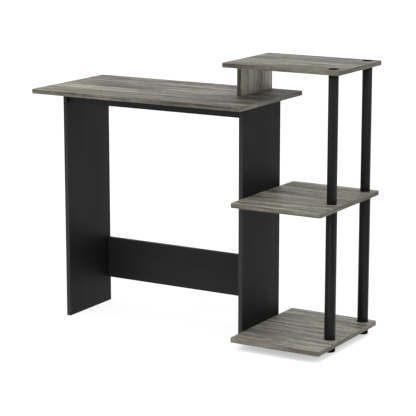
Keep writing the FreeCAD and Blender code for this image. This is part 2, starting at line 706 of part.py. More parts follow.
joiner_turns = thread_turns("board + 2 * stud_grip", "stud_pitch")
joiner_master = turned("stud_joiner", [
    ("0", "0"),
    *threads("stud", "stud_thread", "0", joiner_turns, "stud_pitch"),
    ("0", f"{joiner_turns} * stud_pitch"),
])

# Caps: a low domed button on the top shelf, moulded with a stud that hangs below it.

stud_end = f"0 - {stud_turns} * stud_pitch"
cap_profile = [
    ("0", stud_end),
    *threads("stud", "stud_thread", stud_end, stud_turns, "stud_pitch"),
    ("upper_tube / 2", "0"),
    ("upper_tube / 2", "cap_height - cap_crown - collar_lip"),
    ("upper_tube / 2 - collar_lip", "cap_height - cap_crown"),
    ("0", "cap_height"),
]
cap_master = turned("cap", cap_profile, domed=[len(cap_profile) - 2])
for post, back in POSTS.items():
    group(f"{post}_foot", foot_master, [(POST_X, back, "bottom_gap", RIGHT, UP)])
    joiner_start = f"{MIDDLE_SHELF_Z} + board / 2 - {joiner_turns} * stud_pitch / 2"
    group(f"{post}_middle_stud", joiner_master, [(POST_X, back, joiner_start, RIGHT, UP)])
    group(f"{post}_top_cap", cap_master, [(POST_X, back, "top_shelf_height", RIGHT, UP)])

# ------------------------------------------------------------------ fasteners

# Cam bolt: its thread rises from the board's face at 0, its shank, neck and head hang below.

bolt_turns = thread_turns("bolt_thread_length", "bolt_pitch")
head_middle = "0 - cam_reach"
cam_bolt = turned("cam_bolt", [
    ("0", f"{head_middle} - bolt_head_length / 2"),
    ("bolt_head / 2", f"{head_middle} - bolt_head_length / 2"),
    ("bolt_head / 2", f"{head_middle} + bolt_head_length / 2"),
    ("bolt_neck / 2", f"{head_middle} + bolt_head_length / 2"),
    ("bolt_neck / 2", f"{head_middle} + bolt_head_length / 2 + bolt_neck_length"),
    ("bolt_shank / 2",
     f"{head_middle} + bolt_head_length / 2 + bolt_neck_length + bolt_shoulder"),
    ("bolt_shank / 2", "0"),
    *threads("bolt_thread", "bolt_thread_depth", "0", bolt_turns, "bolt_pitch"),
    ("0", f"{bolt_turns} * bolt_pitch"),
])

# Cam lock: a die-cast drum whose face with the cross recess is at 0.  The bolt's head comes in
# along +X and sits in the hollow, behind the two lips of the slot.

cam_lock = turned("cam_lock", [
    ("0", "0 - cam_lock_height"),
    ("cam_lock / 2", "0 - cam_lock_height"),
    ("cam_lock / 2", "0 - collar_lip"),
    ("cam_lock / 2 - collar_lip", "0"),
    ("0", "0"),
])
cam_drive = new_sketch(cam_lock, "cam_drive_cross", "XY_Plane")
half, slim = "cam_drive / 2", "cam_drive_width / 2"
draw_outline(cam_drive, [
    (slim, slim), (slim, half), (f"0 - {slim}", half), (f"0 - {slim}", slim),
    (f"0 - {half}", slim), (f"0 - {half}", f"0 - {slim}"), (f"0 - {slim}", f"0 - {slim}"),
    (f"0 - {slim}", f"0 - {half}"), (slim, f"0 - {half}"), (slim, f"0 - {slim}"),
    (half, f"0 - {slim}"), (half, slim),
])
pocket(cam_lock, cam_drive, "cam_drive_recess", "cam_drive_depth", backwards=False)
lid = "cam_cavity_rise - board / 2"
cavity = new_sketch(cam_lock, "cam_cavity_sketch", "XY_Plane", lid)
draw_circles(cavity, [("0", "0")], "cam_cavity")
pocket(cam_lock, cavity, "cam_hollow", "cam_lock_height", backwards=False)
mouth = new_sketch(cam_lock, "cam_mouth_sketch", "XY_Plane", lid)
draw_outline(mouth, rectangle("0", "0 - cam_slot / 2", "cam_lock", "cam_slot"))
pocket(cam_lock, mouth, "cam_mouth", "cam_lock_height", backwards=False)

dowel_master = turned("dowel_peg", [
    ("0", "0"),
    ("dowel / 2 - dowel_chamfer", "0"),
    ("dowel / 2", "dowel_chamfer"),
    ("dowel / 2", "dowel_length - dowel_chamfer"),
    ("dowel / 2 - dowel_chamfer", "dowel_length"),
    ("0", "dowel_length"),
])

# Panel screw: its flat head is just under the board's face, and it points along +Z.

screw_turns = thread_turns("screw_length - screw_shank - screw_pitch", "screw_pitch")
panel_screw = turned("panel_screw", [
    ("0", "screw_drive_depth"),
    ("screw_drive / 4", "screw_drive_depth"),
    ("screw_drive / 2", "0"),
    ("screw_head / 2 - screw_clearance", "0"),
    ("screw / 2 - screw_clearance", "screw_head_height"),
    ("screw / 2 - screw_clearance", "screw_shank"),
    *threads("screw", "screw_thread", "screw_shank", screw_turns, "screw_pitch"),
    ("0", "screw_length"),
])

# Cover cap: a thin domed disc pressed over the screw's head, with its face towards -Z.

screw_cover = turned("screw_cover", [
    ("0", "0 - screw_cap_height"),
    ("screw_cap / 2", "0 - screw_cap_rim"),
    ("screw_cap / 2", "0"),
    ("0", "0"),
], domed=[0])

LEG_LINES = {
    "left": (f"{LEFT_LEG_X} + board / 2", f"{LEFT_LEG_X} + board", RIGHT),
    "right": (f"{RIGHT_LEG_X} + board / 2", RIGHT_LEG_X, LEFT),
}
leg_bolts, leg_locks, leg_dowels = [], [], []
for middle, inner, facing in LEG_LINES.values():
    for inset in LEG_CAMS:
        line = f"{LEG_FRONT} + {inset}"
        leg_bolts.append((middle, line, DESKTOP_UNDERSIDE, RIGHT, UP))
        leg_locks.append((inner, line, f"{DESKTOP_UNDERSIDE} - cam_reach", UP, facing))
    for inset in LEG_DOWELS:
        line = f"{LEG_FRONT} + {inset}"
        leg_dowels.append((middle, line, f"{DESKTOP_UNDERSIDE} - dowel_end_depth + dowel_gap", RIGHT, UP))
group("desktop_cam_bolts", cam_bolt, leg_bolts)
group("leg_cam_locks", cam_lock, leg_locks)
group("desktop_dowels", dowel_master, leg_dowels)


def fit_cross_board(name, front, low, cams, dowels):
    """Cam bolts and dowels at both ends of a board between the legs, cam locks in its back."""
    bolts, locks, pegs = [], [], []
    middle = f"{front} + board / 2"
    right_end = f"{CROSS_X} + {BETWEEN_LEGS}"
    for rise in cams:
        up = f"{low} + {rise}"
        bolts.append((CROSS_X, middle, up, UP, LEFT))
        bolts.append((right_end, middle, up, UP, RIGHT))
        locks.append((f"{CROSS_X} + cam_reach", f"{front} + board", up, LEFT, BACKWARD))
        locks.append((f"{right_end} - cam_reach", f"{front} + board", up, RIGHT, BACKWARD))
    for rise in dowels:
        up = f"{low} + {rise}"
        pegs.append((f"{CROSS_X} + dowel_end_depth - dowel_gap", middle, up, UP, LEFT))
        pegs.append((f"{right_end} - dowel_end_depth + dowel_gap", middle, up, UP, RIGHT))
    group(name + "_cam_bolts", cam_bolt, bolts)
    group(name + "_cam_locks", cam_lock, locks)
    group(name + "_dowels", dowel_master, pegs)


fit_cross_board("rail", RAIL_Y, RAIL_Z, [RAIL_CAM], [RAIL_DOWEL])
fit_cross_board("stretcher", STRETCHER_Y, "stretcher_clearance", STRETCHER_CAMS, STRETCHER_DOWELS)

riser_middle = f"{TOP_SHELF_X} + board / 2"
riser_lines = [f"{RISER_Y} + {inset}" for inset in RISER_CAMS]
group("riser_cam_bolts", cam_bolt, [
    (riser_middle, line, TOP_SHELF_Z, RIGHT, UP) for line in riser_lines])
group("riser_cam_locks", cam_lock, [
    (TOP_SHELF_X, line, f"{TOP_SHELF_Z} - cam_reach", UP, LEFT) for line in riser_lines])
group("riser_dowels", dowel_master, [
    (riser_middle, f"{RISER_Y} + {inset}", f"{TOP_SHELF_Z} - dowel_end_depth + dowel_gap", RIGHT, UP)
    for inset in RISER_DOWELS])
group("riser_screws", panel_screw, [
    (riser_middle, line, f"{DESKTOP_UNDERSIDE} + screw_sink", RIGHT, UP) for line in riser_lines])
group("riser_screw_covers", screw_cover, [
    (riser_middle, line, DESKTOP_UNDERSIDE, RIGHT, UP) for line in riser_lines])

for name, height in (("middle", MIDDLE_SHELF_Z), ("bottom", "bottom_gap")):
    lines = [f"{LEG_FRONT} + {inset}" for inset in SHELF_SCREWS]
    up = f"{height} + board / 2"
    group(f"{name}_shelf_screws", panel_screw, [
        (f"{RIGHT_LEG_X} + screw_sink", line, up, UP, RIGHT) for line in lines])
    group(f"{name}_shelf_screw_covers", screw_cover, [
        (RIGHT_LEG_X, line, up, UP, RIGHT) for line in lines])

# ------------------------------------------------------------------ checks and export

doc.recompute()
for thing in doc.Objects:
    if "Invalid" in thing.State or "Error" in thing.State:
        raise RuntimeError(f"{thing.Label} failed: {thing.State}")
for piece in PARTS:
    if piece.Shape.isNull() or not piece.Shape.isValid():
        raise RuntimeError(f"{piece.Label} has no valid shape")
    if not piece.Shape.Solids:
        raise RuntimeError(f"{piece.Label} has no solid")

os.makedirs("parts", exist_ok=True)
for piece in PARTS:
    piece.Shape.exportStep(f"parts/{piece.Label}.step")
print(len(PARTS), "sub-parts written")
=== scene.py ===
import math

import bmesh
import bpy
from mathutils import Matrix, Vector


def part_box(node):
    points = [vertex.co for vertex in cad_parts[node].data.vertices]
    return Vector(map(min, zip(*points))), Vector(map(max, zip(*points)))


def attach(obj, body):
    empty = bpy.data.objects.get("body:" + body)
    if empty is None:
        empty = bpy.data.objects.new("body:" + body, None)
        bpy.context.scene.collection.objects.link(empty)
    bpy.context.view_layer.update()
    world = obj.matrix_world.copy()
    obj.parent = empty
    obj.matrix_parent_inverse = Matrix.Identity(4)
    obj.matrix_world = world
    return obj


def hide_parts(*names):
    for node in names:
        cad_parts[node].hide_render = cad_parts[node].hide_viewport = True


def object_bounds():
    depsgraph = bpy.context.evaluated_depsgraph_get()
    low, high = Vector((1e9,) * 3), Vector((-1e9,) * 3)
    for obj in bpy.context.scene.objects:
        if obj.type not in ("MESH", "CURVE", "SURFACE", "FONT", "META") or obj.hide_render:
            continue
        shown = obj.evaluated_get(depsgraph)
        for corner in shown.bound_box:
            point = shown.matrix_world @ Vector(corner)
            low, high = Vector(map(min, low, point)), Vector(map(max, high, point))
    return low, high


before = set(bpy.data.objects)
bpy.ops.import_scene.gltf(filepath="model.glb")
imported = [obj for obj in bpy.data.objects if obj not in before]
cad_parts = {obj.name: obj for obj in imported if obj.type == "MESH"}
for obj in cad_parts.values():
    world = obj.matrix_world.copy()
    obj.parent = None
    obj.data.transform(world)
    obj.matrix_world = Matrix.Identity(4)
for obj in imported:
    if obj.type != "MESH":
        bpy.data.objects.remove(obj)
cad_low, cad_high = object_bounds()
MM = 0.001

# ---------------------------------------------------------------- grey oak boards
# The desktop, riser and three shelves are particle board faced with melamine paper, printed
# with weathered grey oak and pressed under heat.  The boards are sawn from large sheets, so
# the print runs straight through and differs from board to board.


def linear(code):
    """A colour written as an sRGB hex value, in the linear numbers that shaders take."""
    channels = [int(code[place:place + 2], 16) / 255 for place in (1, 3, 5)]
    curve = [c / 12.92 if c <= 0.04045 else ((c + 0.055) / 1.055) ** 2.4 for c in channels]
    return (*curve, 1.0)


def add(tree, kind, sockets=None, stops=(), **settings):
    """Adds one node; each socket takes a value or another node's output, a ramp takes stops.

    A socket goes by its name, or by its number where a node has several of one name.
    """
    made = tree.nodes.new(kind)
    for name, value in settings.items():
        setattr(made, name, value)
    for name, value in (sockets or {}).items():
        if isinstance(value, bpy.types.NodeSocket):
            tree.links.new(value, made.inputs[name])
        else:
            made.inputs[name].default_value = value
    for number, (place, code) in enumerate(stops):
        if number >= len(made.color_ramp.elements):
            made.color_ramp.elements.new(place)
        made.color_ramp.elements[number].position = place
        made.color_ramp.elements[number].color = linear(code)
    return made


def new_material(name):
    material = bpy.data.materials.new(name)
    material.use_nodes = True
    material.node_tree.nodes.clear()
    return material, material.node_tree


def shade(tree, colour, roughness, relief, strength, depth, even):
    """Ends a material: patterns give colour, roughness and relief, whose depth is in millimetres.

    The shader's other values are even all over.
    """
    bump = add(tree, "ShaderNodeBump", {
        "Height": relief, "Strength": strength, "Distance": depth * MM})
    shader = add(tree, "ShaderNodeBsdfPrincipled", {
        "Base Color": colour, "Roughness": roughness, "Normal": bump.outputs["Normal"], **even})
    add(tree, "ShaderNodeOutputMaterial", {"Surface": shader.outputs["BSDF"]})


def blotches(tree, place, sizes, detail, roughness, output="Fac"):
    """A pattern whose blotches are so many millimetres in the place's three directions."""
    scales = [1 / (size * MM) for size in sizes]
    scaled = add(tree, "ShaderNodeVectorMath", {0: place, 1: scales}, operation="MULTIPLY")
    noise = add(tree, "ShaderNodeTexNoise", {
        "Vector": scaled.outputs[0], "Scale": 1.0, "Detail": detail, "Roughness": roughness})
    return noise.outputs[output]


def weighted(tree, parts):
    """The sum of several patterns, each times its share."""
    total = None
    for level, share in parts:
        part = add(tree, "ShaderNodeMath", {0: level, 1: share}, operation="MULTIPLY")
        if total is None:
            total = part.outputs[0]
            continue
        total = add(tree, "ShaderNodeMath", {0: total, 1: part.outputs[0]}).outputs[0]
    return total


# The turn that brings each grain axis onto X.
GRAIN_TURNS = {"X": (0, 0, 0), "Y": (0, 0, math.pi / 2), "Z": (0, math.pi / 2, 0)}
OAK_SWING = 26 * MM
OAK_VEIN = 0.024
OAK_MIDDLE = 0.535
OAK_REACH = 0.127
OAK_TONES = [
    (0.0, "#393430"), (0.13, "#49443f"), (0.35, "#5e5951"), (0.51, "#706d64"),
    (0.66, "#807d73"), (0.87, "#989587"), (1.0, "#a5a294"),
]
OAK_TINTS = [(0.36, "#7b8483"), (0.5, "#82817a"), (0.64, "#898071")]


def oak_print(tree, grain, sawn_at, paleness_and_painted_light, contrast, bleach_and_painted_light):
    """Weathered oak with its grain along one axis: its colour, its level and its fibres."""
    place = add(tree, "ShaderNodeTexCoord").outputs["Object"]
    turned = add(tree, "ShaderNodeMapping", {
        "Vector": place, "Rotation": GRAIN_TURNS[grain], "Location": sawn_at}).outputs[0]
    # Growth rings wander, so the streaks swing by at most half of OAK_SWING either way.
    swing = blotches(tree, turned, (450, 140, 140), 2.0, 0.55, "Color")
    centred = add(tree, "ShaderNodeVectorMath", {0: swing, 1: (0.5, 0.5, 0.5)},
                  operation="SUBTRACT").outputs[0]
    sideways = add(tree, "ShaderNodeVectorMath", {0: centred, 1: (0, OAK_SWING, OAK_SWING)},
                   operation="MULTIPLY").outputs[0]
    figure = add(tree, "ShaderNodeVectorMath", {0: turned, 1: sideways}).outputs[0]

    rings = blotches(tree, figure, (640, 46, 46), 2.0, 0.5)
    streaks = blotches(tree, figure, (210, 18, 18), 4.0, 0.65)
    fibres = blotches(tree, figure, (110, 4.5, 4.5), 3.0, 0.7)
    # Open pores, filled pale by the weathering, are short flecks along the grain.
    pores = blotches(tree, figure, (30, 9, 9), 2.0, 0.75)
    # Saw marks cross the grain as short faint ticks.
    saw_marks = blotches(tree, turned, (5, 12, 12), 2.0, 0.6)
    # Dark late wood gathers in thin veins, where a broad pattern passes its middle value.
    bed = blotches(tree, figure, (1000, 44, 44), 2.0, 0.5)
    offset = add(tree, "ShaderNodeMath", {0: bed, 1: 0.5}, operation="SUBTRACT").outputs[0]
    distance = add(tree, "ShaderNodeMath", {0: offset}, operation="ABSOLUTE").outputs[0]
    veins = add(tree, "ShaderNodeMapRange", {
        "Value": distance, "From Min": 0.0, "From Max": OAK_VEIN, "To Min": -0.5, "To Max": 0.0,
    }, interpolation_type="SMOOTHSTEP").outputs[0]
    level = weighted(tree, [
        (rings, 0.31), (streaks, 0.34), (fibres, 0.15), (pores, 0.18), (saw_marks, 0.09),
        (veins, 0.16)])

    # Part of the paleness is painted light, on boards that sit in the shade of the boards above.
    middle = OAK_MIDDLE - paleness_and_painted_light
    reach = OAK_REACH / contrast
    spread = add(tree, "ShaderNodeMapRange", {
        "Value": level, "From Min": middle - reach, "From Max": middle + reach}).outputs[0]
    wood = add(tree, "ShaderNodeValToRGB", {"Fac": spread}, OAK_TONES).outputs["Color"]
    # Patches of the print lean to blue-grey and to brown.
    patch = blotches(tree, figure, (520, 60, 60), 1.0, 0.5)
    tint = add(tree, "ShaderNodeValToRGB", {"Fac": patch}, OAK_TINTS).outputs["Color"]
    tinted = add(tree, "ShaderNodeMix", {0: 0.5, 6: wood, 7: tint},
                 data_type="RGBA", blend_type="SOFT_LIGHT").outputs[2]
    # The bleach lifts the pale end of the print; on boards in the shade of the boards above it is
    # painted light.
    colour = add(tree, "ShaderNodeGamma", {"Color": tinted, "Gamma": 1 / bleach_and_painted_light}).outputs[0]
    return colour, spread, fibres


def grey_oak(name, grain, sawn_at, paleness_and_painted_light, contrast, bleach_and_painted_light):
    """Melamine print of weathered oak: long grey-brown streaks with a dull, even sheen."""
    material, tree = new_material(name)
    colour, level, fibres = oak_print(tree, grain, sawn_at, paleness_and_painted_light, contrast, bleach_and_painted_light)
    roughness = add(tree, "ShaderNodeMapRange", {
        "Value": fibres, "To Min": 0.66, "To Max": 0.5}).outputs[0]
    # The pressed grain is 0.05 mm deep, and is drawn deeper so that it shows.
    relief = weighted(tree, [(level, 0.4), (fibres, 0.6)])
    shade(tree, colour, roughness, relief, strength=0.4, depth=0.25,
          even={"IOR": 1.5, "Specular IOR Level": 0.3})
    return material


def finish_node(name, material):
    """Gives one CAD node its material."""
    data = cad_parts[name].data
    data.materials.clear()
    data.materials.append(material)


# For each board its grain, its place in the printed sheet, and how pale, how contrasty and how
# bleached its stretch of print is.  Part of the paleness and bleach of the riser and the middle
# and bottom shelves, which sit in the shade of the boards above, is painted light.
OAK_BOARDS = {
    "desktop_board": ("X", (0.13, 0.42, 0.05), -0.015, 1.25, 1.02),
    "top_shelf_board": ("X", (2.71, 1.18, 0.33), -0.02, 1.2, 1.02),
    "middle_shelf_board": ("X", (5.37, 2.95, 0.71), 0.005, 1.2, 1.06),
    "bottom_shelf_board": ("X", (7.92, 4.36, 1.24), 0.015, 1.15, 1.22),
    "riser_board": ("Z", (9.18, 6.07, 1.93), 0.03, 1.6, 1.28),
}
for board, stretch in OAK_BOARDS.items():
    finish_node(board, grey_oak("grey_oak_melamine_" + board, *stretch))

# ---------------------------------------------------------------- oak edge banding
# Half-millimetre printed tape, glued hot round the boards' sawn edges and trimmed flush.  Its
# print runs along the edge, and its trimmed rims carry a painted highlight as pale lines.

TAPE_CONTRAST = 0.7
TAPE_END_DARKER = 0.02
# The painted highlight starts this far inside a rim, and is full this far inside it, in
# millimetres.
UPPER_RIM_HIGHLIGHT = (3.2, 0.6)
LOWER_RIM_HIGHLIGHT = (2.2, 0.4)
RIM_HIGHLIGHT_SHARE = 0.85
RIM_HIGHLIGHT_TONE = "#c9c6bd"
# A face whose normal leans further than this to X is a short end of the board.
END_FACING = 0.7


def oak_banding(name, sawn_at, paleness_and_painted_light, low, high):
    """Printed tape: more even than the faces, with fine streaks along the edge and a painted
    highlight at each rim.
    """
    material, tree = new_material(name)
    end_paleness = paleness_and_painted_light - TAPE_END_DARKER
    side, side_level, _ = oak_print(tree, "X", sawn_at, paleness_and_painted_light, TAPE_CONTRAST, 1.0)
    end, end_level, _ = oak_print(tree, "Y", sawn_at, end_paleness, TAPE_CONTRAST, 1.0)
    coordinates = add(tree, "ShaderNodeTexCoord").outputs
    facing = add(tree, "ShaderNodeSeparateXYZ", {"Vector": coordinates["Normal"]}).outputs["X"]
    sideways = add(tree, "ShaderNodeMath", {0: facing}, operation="ABSOLUTE").outputs[0]
    on_end = add(tree, "ShaderNodeMath", {0: sideways, 1: END_FACING},
                 operation="GREATER_THAN").outputs[0]
    colour = add(tree, "ShaderNodeMix", {0: on_end, 6: side, 7: end},
                 data_type="RGBA").outputs[2]
    level = add(tree, "ShaderNodeMix", {0: on_end, 2: side_level, 3: end_level}).outputs[0]

    # Painted highlight: the colour pales within a few millimetres of the upper and lower rims.
    height = add(tree, "ShaderNodeSeparateXYZ", {"Vector": coordinates["Object"]}).outputs["Z"]
    upper = add(tree, "ShaderNodeMapRange", {
        "Value": height, "From Min": high - UPPER_RIM_HIGHLIGHT[0] * MM,
        "From Max": high - UPPER_RIM_HIGHLIGHT[1] * MM}).outputs[0]
    lower = add(tree, "ShaderNodeMapRange", {
        "Value": height, "From Min": low + LOWER_RIM_HIGHLIGHT[0] * MM,
        "From Max": low + LOWER_RIM_HIGHLIGHT[1] * MM}).outputs[0]
    rim_highlight = add(tree, "ShaderNodeMath", {0: upper, 1: lower}, operation="MAXIMUM").outputs[0]
    share = add(tree, "ShaderNodeMath", {0: rim_highlight, 1: RIM_HIGHLIGHT_SHARE},
                operation="MULTIPLY").outputs[0]
    highlight_colour = add(tree, "ShaderNodeMix", {0: 1.0, 6: colour, 7: linear(RIM_HIGHLIGHT_TONE)},
               data_type="RGBA", blend_type="SOFT_LIGHT").outputs[2]
    highlighted = add(tree, "ShaderNodeMix", {0: share, 6: colour, 7: highlight_colour},
                data_type="RGBA").outputs[2]
    roughness = add(tree, "ShaderNodeMapRange", {
        "Value": level, "To Min": 0.66, "To Max": 0.5}).outputs[0]
    shade(tree, highlighted, roughness, level, strength=0.3, depth=0.2,
          even={"IOR": 1.48, "Specular IOR Level": 0.3})
    return material


# For each board's band its place in the printed reel, and how pale that stretch came out.
LEVEL_BANDS = {
    "desktop_edge_band": ((1.31, 0.22, 0.4), 0.0),
    "top_shelf_edge_band": ((3.77, 1.52, 0.8), -0.005),
    "middle_shelf_edge_band": ((6.14, 2.18, 1.3), -0.035),
    "bottom_shelf_edge_band": ((8.05, 3.71, 1.9), 0.01),
}
for band, stretch in LEVEL_BANDS.items():
    band_low, band_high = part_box(band)
    finish_node(band, oak_banding(
        "grey_oak_banding_" + band, *stretch, band_low.z, band_high.z))
riser_tape = grey_oak(
    "grey_oak_banding_riser", "Z", (4.42, 5.21, 2.6), paleness_and_painted_light=0.01, contrast=1.4, bleach_and_painted_light=1.0)
finish_node("riser_edge_bands", riser_tape)

# ---------------------------------------------------------------- black boards
# Legs, rail and stretcher are the same board in black melamine.  The press plate gives it a
# faint wood grain, and their banding is a slightly paler black tape.


def black_melamine(name, grain, tones, roughness, sheen):
    """Black melamine: an even near-black whose fine grain only shows where light skims it."""
    material, tree = new_material(name)
    place = add(tree, "ShaderNodeTexCoord").outputs["Object"]
    turned = add(tree, "ShaderNodeMapping", {
        "Vector": place, "Rotation": GRAIN_TURNS[grain]}).outputs[0]
    cloud = blotches(tree, turned, (520, 140, 140), 2.0, 0.5)
    ticks = blotches(tree, turned, (60, 2.6, 2.6), 3.0, 0.6)
    grit = blotches(tree, turned, (1.6, 1.6, 1.6), 1.0, 0.5)
    level = weighted(tree, [(cloud, 0.5), (ticks, 0.35), (grit, 0.15)])
    colour = add(tree, "ShaderNodeValToRGB", {"Fac": level},
                 [(0.38, tones[0]), (0.62, tones[1])]).outputs["Color"]
    shine = add(tree, "ShaderNodeMapRange", {
        "Value": level, "From Min": 0.35, "From Max": 0.65,
        "To Min": roughness + 0.06, "To Max": roughness - 0.06}).outputs[0]
    relief = weighted(tree, [(ticks, 0.7), (grit, 0.3)])
    shade(tree, colour, shine, relief, strength=0.22, depth=0.2,
          even={"IOR": 1.5, "Specular IOR Level": sheen})
    return material


# For each finish its grain, its tones, its roughness, its sheen and the pieces that have it.
# All are one board in black melamine: the paler tones of the rail and stretcher are painted
# light, and the right leg's darker, duller tones are painted shade.
BLACK_FINISHES = {
    "black_melamine_left_leg": ("Z", ("#121212", "#181818"), 0.5, 0.1, ["left_leg_board"]),
    "black_melamine_right_leg_painted_shade": ("Z", ("#0a0a0a", "#0f0f0f"), 0.5, 0.08, ["right_leg_board"]),
    "black_melamine_cross_painted_light": (
        "X", ("#1b1b1b", "#222222"), 0.5, 0.1, ["front_rail_board", "back_stretcher_board"]),
    "black_banding_upright": (
        "Z", ("#282828", "#313131"), 0.55, 0.1, ["left_leg_edge_bands", "right_leg_edge_bands"]),
    "black_banding_cross": (
        "X", ("#282828", "#313131"), 0.55, 0.1,
        ["front_rail_edge_band", "back_stretcher_edge_bands"]),
}
for name, (*look, pieces) in BLACK_FINISHES.items():
    black = black_melamine(name, *look)
    for piece in pieces:
        finish_node(piece, black)

# ---------------------------------------------------------------- bolts, locks, screws, dowels
# The boards are drawn together by plated cam bolts in die-cast cam locks, kept in line by beech
# dowels, and the shelves and riser are screwed on.  Only the locks' faces can be seen.


def metal(name, tones, roughness, grain_size):
    """Plated or cast metal: bright or dull grey, with a mottle of the given millimetres."""
    material, tree = new_material(name)
    place = add(tree, "ShaderNodeTexCoord").outputs["Object"]
    mottle = blotches(tree, place, (grain_size,) * 3, 3.0, 0.6)
    colour = add(tree, "ShaderNodeValToRGB", {"Fac": mottle},
                 [(0.3, tones[0]), (0.7, tones[1])]).outputs["Color"]
    shine = add(tree, "ShaderNodeMapRange", {
        "Value": mottle, "To Min": roughness + 0.1, "To Max": roughness - 0.1}).outputs[0]
    shade(tree, colour, shine, mottle, strength=0.4, depth=0.1, even={"Metallic": 1.0})
    return material


def beech(name):
    """Turned beech: pale pink-brown with short dark flecks along the grain."""
    material, tree = new_material(name)
    place = add(tree, "ShaderNodeTexCoord").outputs["Object"]
    flecks = blotches(tree, place, (1.2, 1.2, 7), 3.0, 0.6)
    colour = add(tree, "ShaderNodeValToRGB", {"Fac": flecks},
                 [(0.35, "#a97c54"), (0.6, "#cfa67c")]).outputs["Color"]
    roughness = add(tree, "ShaderNodeMapRange", {
        "Value": flecks, "To Min": 0.75, "To Max": 0.6}).outputs[0]
    shade(tree, colour, roughness, flecks, strength=0.4, depth=0.1, even={})
    return material


zinc_plating = metal(
    "bright_zinc_plating", ("#a4a7a6", "#c8cac6"), roughness=0.32, grain_size=3.0)
zinc_casting = metal("die_cast_zinc", ("#7c7e80", "#a2a3a3"), roughness=0.45, grain_size=0.9)
turned_beech = beech("turned_beech")
for joint in ("desktop", "rail", "stretcher", "riser"):
    finish_node(joint + "_cam_bolts", zinc_plating)
    finish_node(joint + "_dowels", turned_beech)
for holder in ("leg", "rail", "stretcher", "riser"):
    finish_node(holder + "_cam_locks", zinc_casting)
for held in ("middle_shelf", "bottom_shelf", "riser"):
    finish_node(held + "_screws", zinc_plating)

# ---------------------------------------------------------------- screw covers
# Small domed discs of black moulded plastic hide the screw heads on the right leg's inner face
# and under the desktop.  Each row is one master disc repeated along a straight line.

SHARPEST_SMOOTH = math.radians(40)
NO_RADIUS = 1e-9


def lathe(name, profile, segments):
    """A closed shell about Z, from pairs of radius and height, up the outside."""
    shell = bmesh.new()
    turns = [2 * math.pi * step / segments for step in range(segments)]
    rings = []
    for radius, height in profile:
        if radius < NO_RADIUS:
            rings.append([shell.verts.new((0, 0, height))])
            continue
        rings.append([
            shell.verts.new((radius * math.cos(turn), radius * math.sin(turn), height))
            for turn in turns])
    for lower, upper in zip(rings, rings[1:]):
        for step in range(segments):
            after = (step + 1) % segments
            corners = [lower[step % len(lower)], lower[after % len(lower)],
                       upper[after % len(upper)], upper[step % len(upper)]]
            shell.faces.new(list(dict.fromkeys(corners)))
    # A profile that ends where it starts makes a ring, whose seam is merged here.
    bmesh.ops.remove_doubles(shell, verts=shell.verts, dist=0.001 * MM)
    for face in shell.faces:
        face.smooth = True
    mesh = bpy.data.meshes.new(name)
    shell.to_mesh(mesh)
    shell.free()
    mesh.set_sharp_from_angle(angle=SHARPEST_SMOOTH)
    return mesh


def row_tree():
    """Geometry Nodes: one piece repeated at even steps along a line."""
    tree = bpy.data.node_groups.new("row_of_pieces", "GeometryNodeTree")
    tree.interface.new_socket("Geometry", in_out="INPUT", socket_type="NodeSocketGeometry")
    for label, kind in (("Count", "NodeSocketInt"), ("Start", "NodeSocketVector"),
                        ("Step", "NodeSocketVector"), ("Turn", "NodeSocketRotation"),
                        ("Finish", "NodeSocketMaterial")):
        tree.interface.new_socket(label, in_out="INPUT", socket_type=kind)
    tree.interface.new_socket("Geometry", in_out="OUTPUT", socket_type="NodeSocketGeometry")
    given = add(tree, "NodeGroupInput").outputs
    line = add(tree, "GeometryNodeMeshLine", {
        "Count": given["Count"], "Start Location": given["Start"], "Offset": given["Step"]},
        mode="OFFSET")
    copies = add(tree, "GeometryNodeInstanceOnPoints", {
        "Points": line.outputs["Mesh"], "Instance": given["Geometry"], "Rotation": given["Turn"]})
    real = add(tree, "GeometryNodeRealizeInstances", {"Geometry": copies.outputs["Instances"]})
    painted = add(tree, "GeometryNodeSetMaterial", {
        "Geometry": real.outputs["Geometry"], "Material": given["Finish"]})
    add(tree, "NodeGroupOutput", {"Geometry": painted.outputs["Geometry"]})
    return tree


PIECE_ROW = row_tree()


def repeat(name, master, inputs, stands_for):
    """Runs the row tree on a master mesh and keeps the result as one plain piece."""
    maker = bpy.data.objects.new(name + "_maker", master)
    bpy.context.scene.collection.objects.link(maker)
    modifier = maker.modifiers.new("row", "NODES")
    modifier.node_group = PIECE_ROW
    for item in PIECE_ROW.interface.items_tree:
        if item.in_out == "INPUT" and item.name in inputs:
            modifier[item.identifier] = inputs[item.name]
    bpy.context.view_layer.update()
    evaluated = maker.evaluated_get(bpy.context.evaluated_depsgraph_get())
    mesh = bpy.data.meshes.new_from_object(evaluated)
    mesh.name = name
    maker.modifiers.remove(modifier)
    bpy.data.objects.remove(maker)
    piece = bpy.data.objects.new(name, mesh)
    bpy.context.scene.collection.objects.link(piece)
    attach(piece, "root")
    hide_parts(*stands_for)


def moulded_plastic(name, tones, roughness, sheen, grain_size):
    """Black moulded plastic with the fine spark-eroded grain of its mould."""
    material, tree = new_material(name)
    place = add(tree, "ShaderNodeTexCoord").outputs["Object"]
    grain = blotches(tree, place, (grain_size,) * 3, 3.0, 0.55)
    cloud = blotches(tree, place, (30, 30, 30), 2.0, 0.5)
    level = weighted(tree, [(grain, 0.5), (cloud, 0.5)])
    colour = add(tree, "ShaderNodeValToRGB", {"Fac": level},
                 [(0.35, tones[0]), (0.65, tones[1])]).outputs["Color"]
    shine = add(tree, "ShaderNodeMapRange", {
        "Value": level, "From Min": 0.3, "From Max": 0.7,
        "To Min": roughness + 0.08, "To Max": roughness - 0.08}).outputs[0]
    shade(tree, colour, shine, grain, strength=0.25, depth=0.1,
          even={"IOR": 1.54, "Specular IOR Level": sheen})
    return material


black_moulding = moulded_plastic(
    "black_moulded_plastic", ("#0c0c0c", "#151515"),
    roughness=0.45, sheen=0.06, grain_size=1.1)

COVERED_SCREWS = {
    "middle_shelf_screw_covers": 3,
    "bottom_shelf_screw_covers": 3,
    "riser_screw_covers": 2,
}
COVER_RIM = 0.3
COVER_CHAMFER = 0.2 * MM
